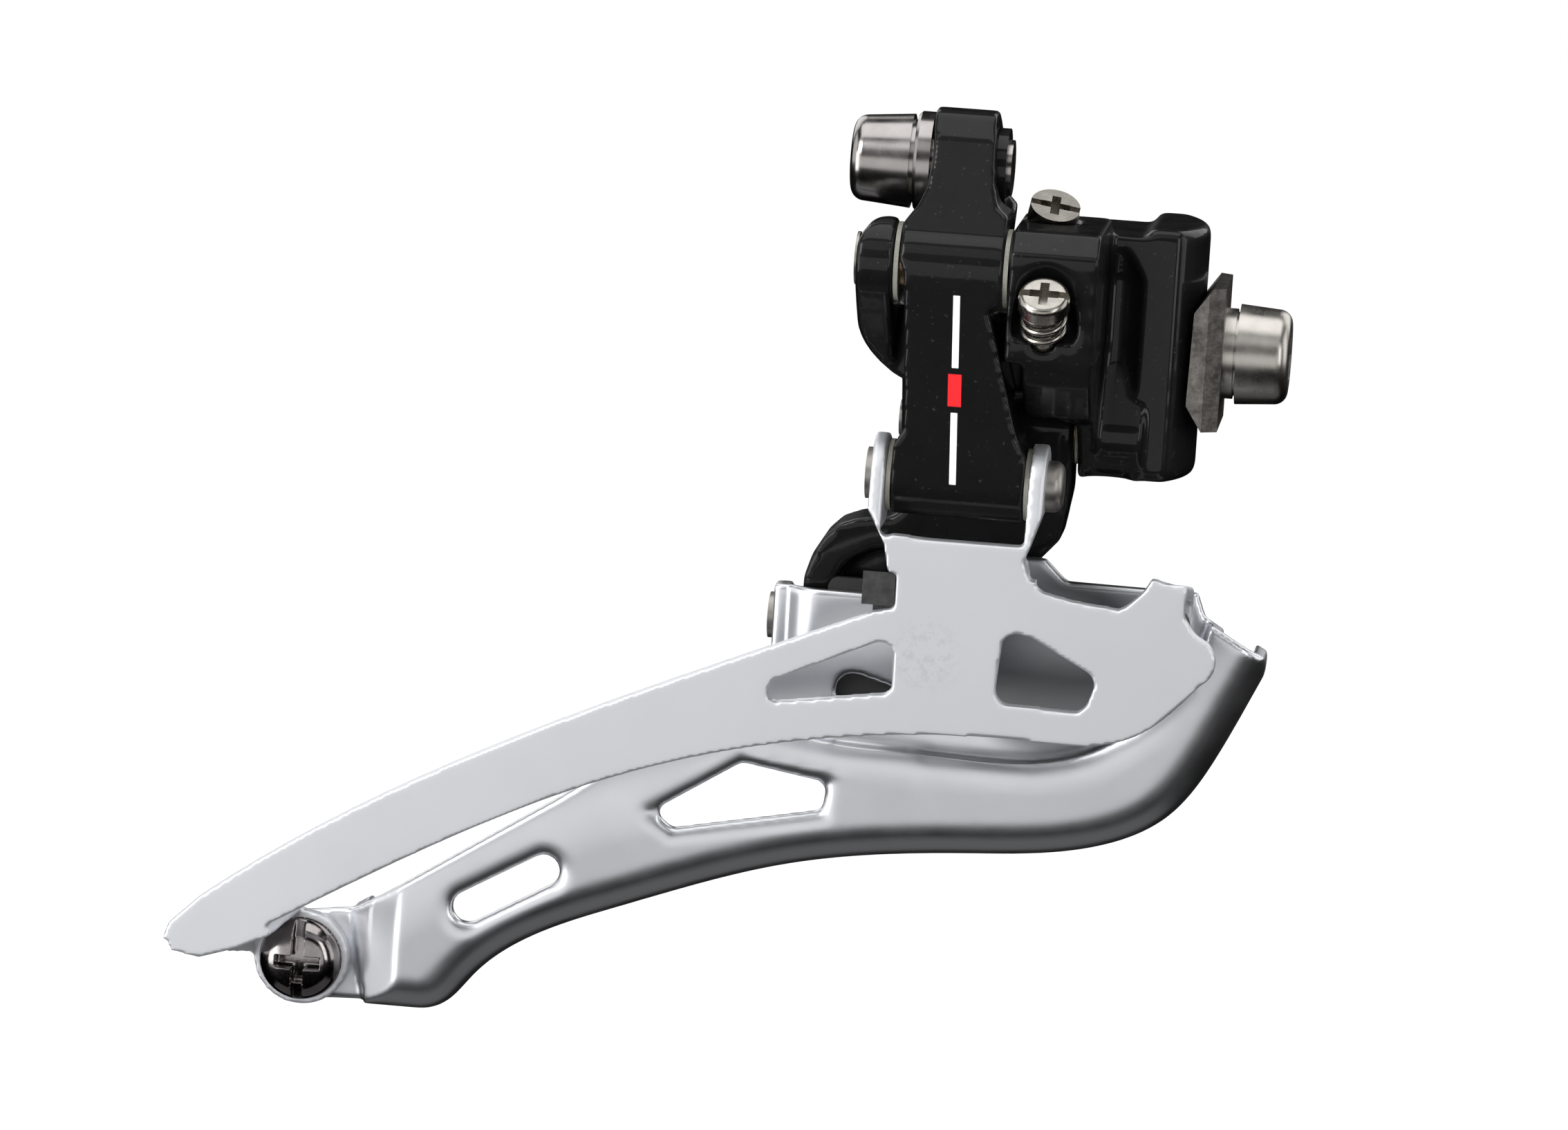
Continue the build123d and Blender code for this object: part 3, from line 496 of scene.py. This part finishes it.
def shape_inner_plate(mesh):
    """Crown the band, press in the windows' rims, curl the wall's rear end and soften the pocket's step."""
    work = bmesh.new()
    work.from_mesh(mesh)
    near_step = [vert for vert in work.verts if on_step(flat_place(vert))]
    for vert in work.verts:
        point = flat_place(vert)
        if vert.co.y < BAND_BACK:
            vert.co.y += crown_depth(point) * MM
        vert.co.y += press_depth(point) * MM
        if vert.co.y < CURL_BACK and point.y > CURL_BASE:
            vert.co.y += curl_depth(point) * MM
    for _ in range(STEP_ROUNDS):
        bmesh.ops.smooth_vert(work, verts=near_step, factor=SMOOTH_FACTOR, use_axis_y=True)
    work.to_mesh(mesh)
    work.free()


def shape_tail_screw(mesh):
    """Dome the head round its recess."""
    for vert in mesh.vertices:
        if vert.co.y < DOME_BACK:
            aside = (flat_place(vert) - TAIL_SCREW).length
            vert.co.y += DOME_DEPTH * (aside / DOME_RADIUS) ** 2 * MM


soft_copy("body_casting", "body", 0.25 * MM, 16)
soft_copy("outer_link", "outer_arm", 0.22 * MM, 10)
soft_copy("inner_link", "inner_arm", 0.3 * MM, 8)
soft_copy("inner_cage_plate", "cage", 0.3 * MM, 4, shape_inner_plate)
soft_copy("outer_cage_plate", "cage", 0.25 * MM, 2)
soft_copy("tail_screw", "cage", 0.1 * MM, 3, shape_tail_screw)

# ---------------------------------------------------------------- floor and light

FLOOR_DROP, FLOOR_RADIUS = 0.4, 14.0
WORLD_LIGHT = 1.2
CENTRE = (cad_box[0] + cad_box[1]) / 2

# Each lamp's azimuth and elevation in degrees, distance, width and height in metres, and radiance
LAMPS = {
    "key": (-40, 32, 0.8, 0.32, 0.4, 6.0),
    "front": (-10, -3, 0.7, 1.0, 0.36, 0.95),
    "tail_glow": (-50, 0, 0.4, 0.2, 0.3, 3.4),
    "front_top": (-4, 44, 1.0, 1.3, 0.4, 0.7),
    "front_right": (42, 12, 1.0, 0.3, 0.7, 3.0),
    "below": (0, -88, 0.3, 0.5, 0.3, 0.12),
    "top": (0, 88, 1.0, 1.2, 0.9, 1.8),
    "left": (-88, 15, 1.0, 0.8, 0.8, 1.1),
    "right": (92, 15, 1.0, 0.7, 0.8, 1.4),
    "rear_left": (-145, 28, 1.0, 0.7, 0.7, 1.4),
    "rear_right": (145, 28, 1.0, 0.7, 0.7, 1.4),
}


def floor_material():
    """Pale grey with a very faint cloud."""
    shader = Shader("floor", roughness=0.9, specular_ior_level=0.1)
    cloud = shader.noise(3, 2.0)
    return shader.set(base_color=shader.blend(cloud, colour(0.86, 0.86, 0.86), colour(0.9, 0.9, 0.9)))


def add_floor():
    """One wide pale disc, some way below the hanging object, left out of its reflections."""
    mesh = bpy.data.meshes.new("floor")
    work = bmesh.new()
    bmesh.ops.create_circle(work, cap_ends=True, segments=96, radius=FLOOR_RADIUS)
    work.to_mesh(mesh)
    work.free()
    floor = bpy.data.objects.new("floor", mesh)
    floor.location = (CENTRE.x, CENTRE.y, cad_box[0].z - FLOOR_DROP)
    scene.collection.objects.link(floor)
    finish_with(floor, floor_material())
    floor.visible_glossy = False


def add_world():
    """Even white light, left out of the object's reflections."""
    world = bpy.data.worlds.new("studio")
    world.use_nodes = True
    background = world.node_tree.nodes["Background"]
    background.inputs["Color"].default_value = colour(1.0, 1.0, 1.0)
    background.inputs["Strength"].default_value = WORLD_LIGHT
    world.cycles_visibility.glossy = False
    scene.world = world


def softbox(name, azimuth, elevation, distance, width, height, radiance):
    """A rectangular lamp aimed at the object, unseen by the camera."""
    back = direction(azimuth, elevation)
    data = bpy.data.lights.new(name, "AREA")
    data.shape = "RECTANGLE"
    data.size = width
    data.size_y = height
    data.energy = radiance * pi * width * height
    light = bpy.data.objects.new(name, data)
    light.location = CENTRE + back * distance
    light.rotation_euler = back.to_track_quat("Z", "Y").to_euler()
    light.visible_camera = False
    scene.collection.objects.link(light)


add_floor()
add_world()
for name, settings in LAMPS.items():
    softbox(name, *settings)
scene.view_settings.view_transform = "Standard"
